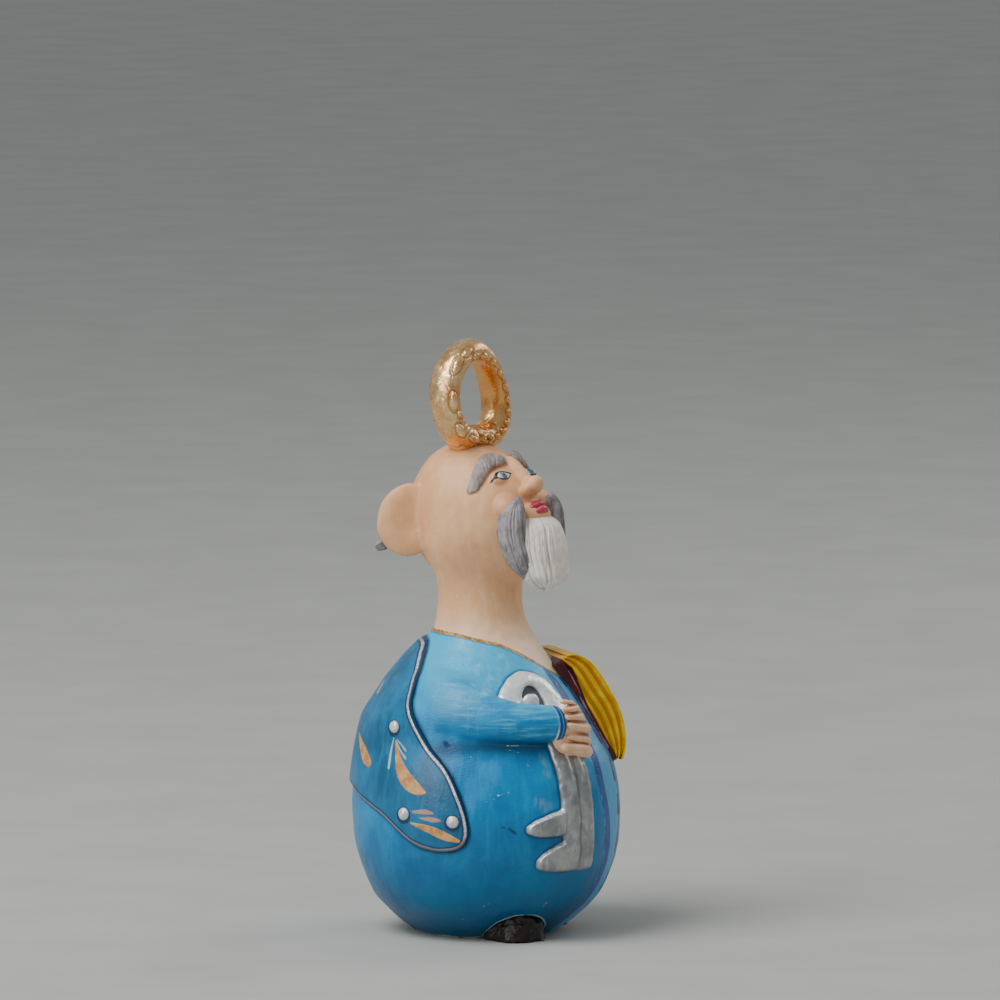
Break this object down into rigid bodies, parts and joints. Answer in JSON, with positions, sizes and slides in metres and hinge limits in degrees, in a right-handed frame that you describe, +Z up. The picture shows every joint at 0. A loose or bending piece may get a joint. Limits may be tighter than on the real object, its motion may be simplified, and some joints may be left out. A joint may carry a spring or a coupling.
{
  "type": "terracotta saint figurine",
  "caption": "Painted clay saint figurine with a round blue robe, head tilted back, gold ring halo, key and book.",
  "frame": {"origin": "centre of the flat underside of the robe", "axes": "+Z up along the body, -Y to the front where the figure faces, +X to the figure's left"},
  "size_m": [0.0577, 0.0547, 0.1198],
  "materials": {
    "painted_clay": "semi-gloss brushed paint in light blue, darker blue, skin, grey, gold and silver on fired clay"
  },
  "bodies": {
    "root": {"figurine": "painted_clay"}
  },
  "joints": []
}
